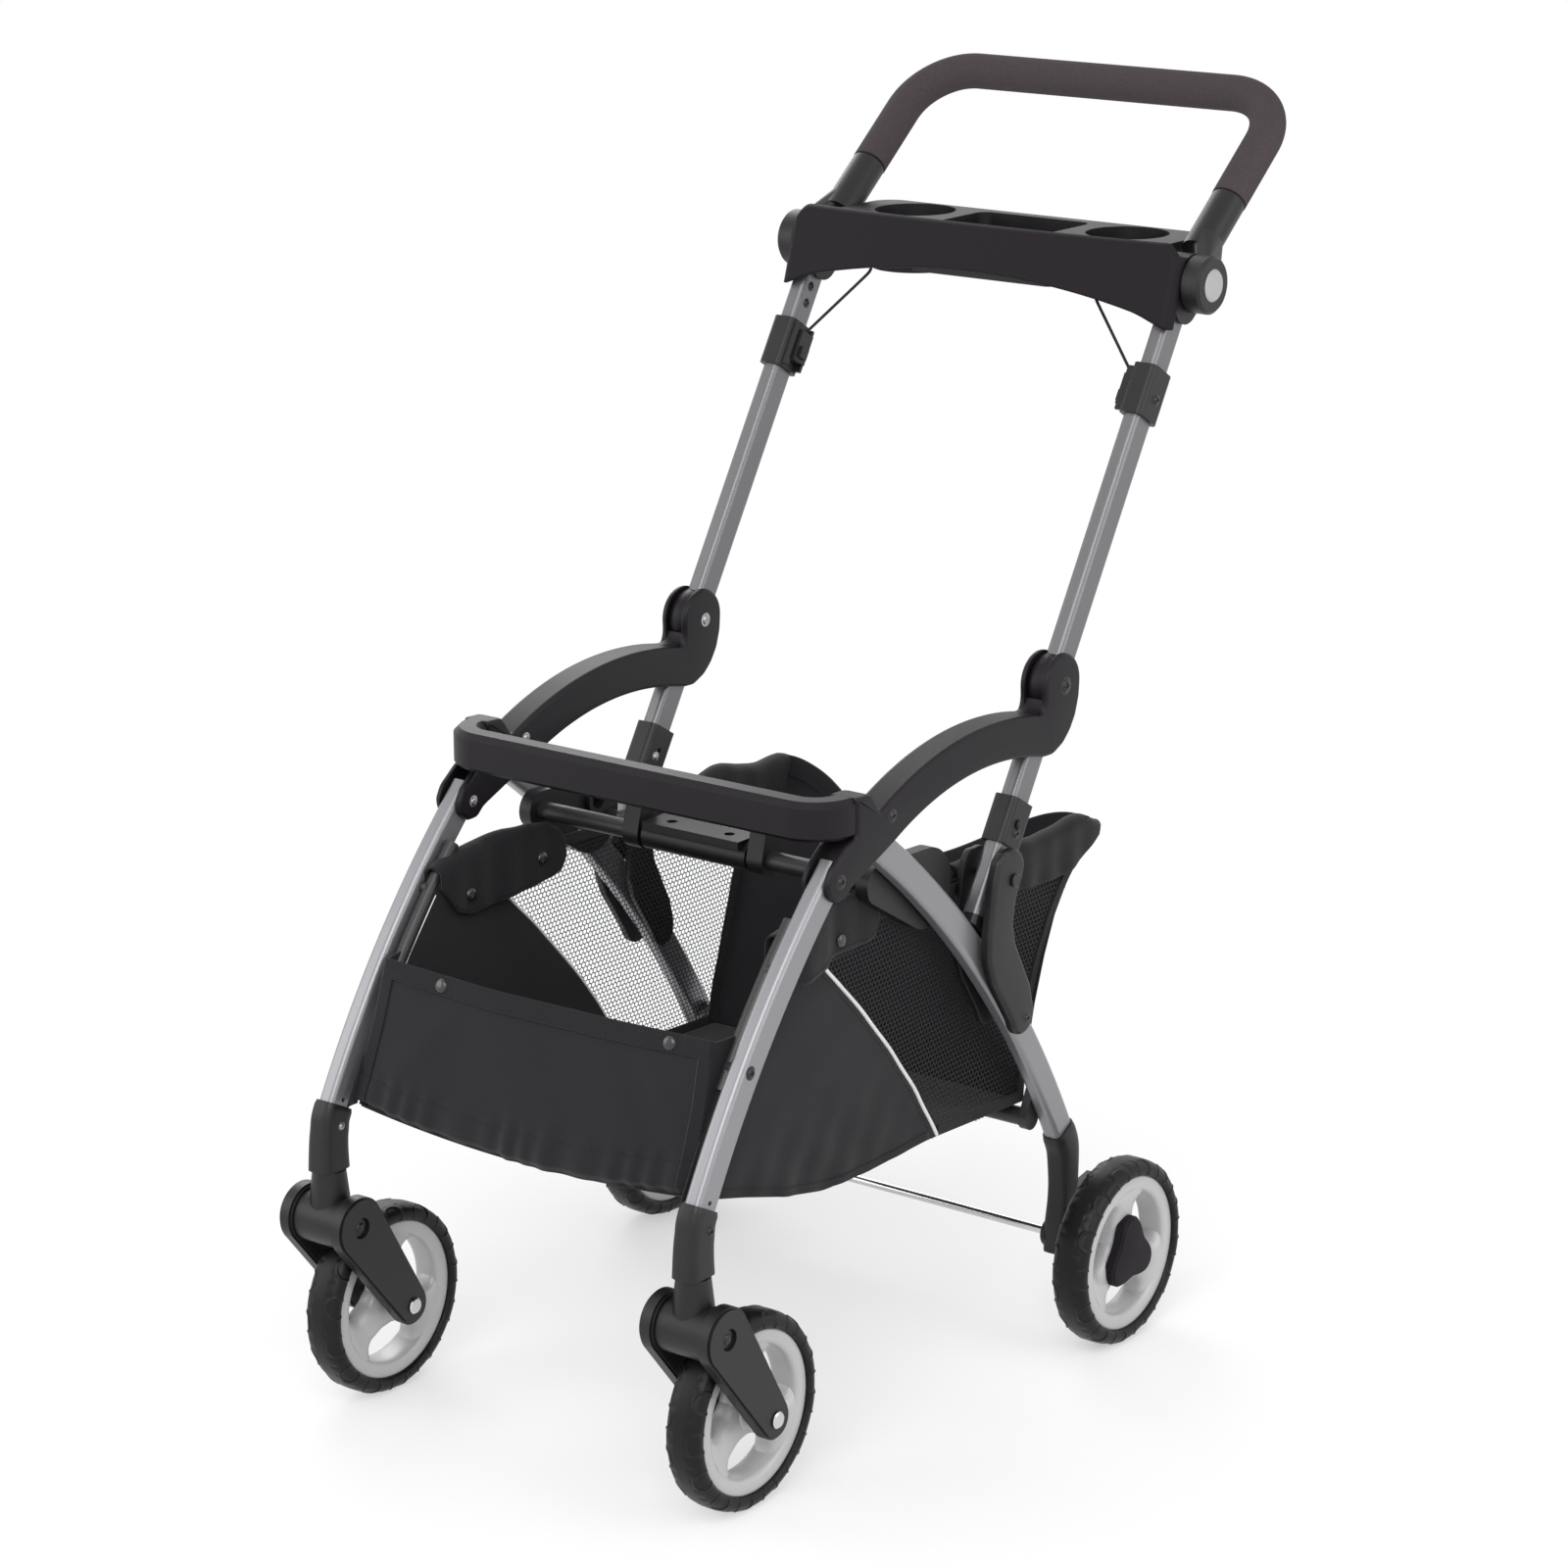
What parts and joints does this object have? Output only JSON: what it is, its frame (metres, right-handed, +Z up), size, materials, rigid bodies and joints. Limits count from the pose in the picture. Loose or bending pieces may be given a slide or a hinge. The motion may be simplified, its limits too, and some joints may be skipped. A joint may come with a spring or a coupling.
{
  "type": "car seat stroller frame",
  "caption": "Folding wheeled frame for an infant car seat, with oval tube legs, arched arms, tray, swing handle, swivel front casters and a cloth basket.",
  "frame": {"origin": "middle of the footprint on the floor", "axes": "+Z up, -Y toward the front casters, +X toward the left side as seen by the person pushing"},
  "size_m": [0.544, 0.892, 1.0517],
  "materials": {
    "tube": "satin",
    "arm": "satin",
    "black": "satin",
    "pale": "satin",
    "tyre": "matte",
    "foam": "matte",
    "steel": "satin",
    "black_tube": "satin",
    "cloth": "matte"
  },
  "bodies": {
    "front_frame": {"arm_left": "arm", "arm_right": "arm", "front_leg_left": "tube", "front_leg_right": "tube", "front_bar": "arm", "caster_sockets": "black", "frame_screws": "steel", "pivot_bolts": "steel", "basket_stays": "black_tube", "basket_front_panel": "cloth"},
    "posts": {"post_left": "tube", "post_right": "tube", "knuckle_housings": "black", "post_sleeves": "arm", "post_collars": "black", "post_plugs": "black", "tray": "black", "tray_apron": "black", "brace_pins": "steel"},
    "brace_l": {"brace_left": "black"},
    "brace_r": {"brace_right": "black"},
    "handle": {"handle_tube": "steel", "handle_grip": "foam", "handle_hubs": "black"},
    "button_l": {"handle_button_left": "pale"},
    "button_r": {"handle_button_right": "pale"},
    "release": {"fold_release": "black"},
    "sliders": {"lock_sliders": "arm", "release_cords": "cloth"},
    "rear_frame": {"rear_leg_left": "tube", "rear_leg_right": "tube", "rear_feet": "black", "rear_axle": "steel", "basket_cross_tube": "black_tube", "leg_brackets": "black", "mount_tube": "black_tube", "mount_sleeve": "black", "mount_hooks": "black", "basket_rails": "black_tube", "basket_tub": "cloth"},
    "brake_l": {"brake_lever_left": "black"},
    "brake_r": {"brake_lever_right": "black"},
    "caster_l": {"caster_yoke_left": "black"},
    "caster_r": {"caster_yoke_right": "black"},
    "fork_l": {"fork_left": "black", "front_axle_left": "steel"},
    "fork_r": {"fork_right": "black", "front_axle_right": "steel"},
    "front_wheel_l": {"front_tyre_left": "tyre", "front_rim_left": "pale"},
    "front_wheel_r": {"front_tyre_right": "tyre", "front_rim_right": "pale"},
    "rear_wheel_l": {"rear_tyre_left": "tyre", "rear_rim_left": "pale", "rear_cap_left": "black"},
    "rear_wheel_r": {"rear_tyre_right": "tyre", "rear_rim_right": "pale", "rear_cap_right": "black"}
  },
  "joints": [
    {"name": "fold", "type": "hinge", "parent": "front_frame", "child": "posts", "pos_m": [0, 0.0707, 0.5847], "axis": [1, 0, 0], "range_deg": [0, 105], "deforming": ["basket_tub", "basket_front_panel"]},
    {"name": "rear_leg_fold", "type": "hinge", "parent": "front_frame", "child": "rear_frame", "pos_m": [0, -0.193, 0.513], "axis": [1, 0, 0], "range_deg": [-36, 0]},
    {"name": "handle_angle", "type": "hinge", "parent": "posts", "child": "handle", "pos_m": [0, 0.26058, 0.89701], "axis": [1, 0, 0], "range_deg": [-45, 30]},
    {"name": "button_left_push", "type": "slide", "parent": "handle", "child": "button_l", "axis": [-1, 0, 0], "range_m": [0, 0.004], "stiffness_N_per_m": 1500, "springref_m": -0.001},
    {"name": "button_right_push", "type": "slide", "parent": "handle", "child": "button_r", "axis": [1, 0, 0], "range_m": [0, 0.004], "stiffness_N_per_m": 1500, "springref_m": -0.001},
    {"name": "release_squeeze", "type": "slide", "parent": "posts", "child": "release", "axis": [0, 0, 1], "range_m": [0, 0.008], "stiffness_N_per_m": 1200, "springref_m": -0.003},
    {"name": "slider_lift", "type": "slide", "parent": "posts", "child": "sliders", "axis": [0, 0.5195, 0.8545], "range_m": [0, 0.012]},
    {"name": "brace_left_swing", "type": "hinge", "parent": "posts", "child": "brace_l", "pos_m": [0.19, -0.01399, 0.43771], "axis": [1, 0, 0], "range_deg": [0, 9]},
    {"name": "brace_right_swing", "type": "hinge", "parent": "posts", "child": "brace_r", "pos_m": [-0.19, -0.01399, 0.43771], "axis": [1, 0, 0], "range_deg": [0, 9]},
    {"name": "brake_left", "type": "hinge", "parent": "rear_frame", "child": "brake_l", "pos_m": [0.19, 0.128, 0.096], "axis": [1, 0, 0], "range_deg": [-20, 0]},
    {"name": "brake_right", "type": "hinge", "parent": "rear_frame", "child": "brake_r", "pos_m": [-0.19, 0.128, 0.096], "axis": [1, 0, 0], "range_deg": [-20, 0]},
    {"name": "caster_left_swivel", "type": "hinge", "parent": "front_frame", "child": "caster_l", "pos_m": [0.19, -0.42, 0.2], "axis": [0, 0, 1], "continuous": true},
    {"name": "caster_right_swivel", "type": "hinge", "parent": "front_frame", "child": "caster_r", "pos_m": [-0.19, -0.42, 0.2], "axis": [0, 0, 1], "continuous": true},
    {"name": "fork_left_spring", "type": "hinge", "parent": "caster_l", "child": "fork_l", "pos_m": [0.19, -0.42, 0.171], "axis": [1, 0, 0], "range_deg": [0, 8], "stiffness_Nm_per_rad": 40, "springref_deg": -8.59},
    {"name": "fork_right_spring", "type": "hinge", "parent": "caster_r", "child": "fork_r", "pos_m": [-0.19, -0.42, 0.171], "axis": [1, 0, 0], "range_deg": [0, 8], "stiffness_Nm_per_rad": 40, "springref_deg": -8.59},
    {"name": "front_wheel_left_spin", "type": "hinge", "parent": "fork_l", "child": "front_wheel_l", "pos_m": [0.19, -0.359, 0.082], "axis": [1, 0, 0], "continuous": true},
    {"name": "front_wheel_right_spin", "type": "hinge", "parent": "fork_r", "child": "front_wheel_r", "pos_m": [-0.19, -0.359, 0.082], "axis": [1, 0, 0], "continuous": true},
    {"name": "rear_wheel_left_spin", "type": "hinge", "parent": "rear_frame", "child": "rear_wheel_l", "pos_m": [0.25, 0.097, 0.082], "axis": [1, 0, 0], "continuous": true},
    {"name": "rear_wheel_right_spin", "type": "hinge", "parent": "rear_frame", "child": "rear_wheel_r", "pos_m": [-0.25, 0.097, 0.082], "axis": [1, 0, 0], "continuous": true}
  ],
  "couplings": [
    {"joint": "rear_leg_fold", "follows": "fold", "ratio": -0.34286},
    {"joint": "slider_lift", "follows": "release_squeeze", "ratio": 1.5},
    {"joint": "brace_left_swing", "follows": "release_squeeze", "rad_per_m": 19.615},
    {"joint": "brace_right_swing", "follows": "release_squeeze", "rad_per_m": 19.615}
  ]
}
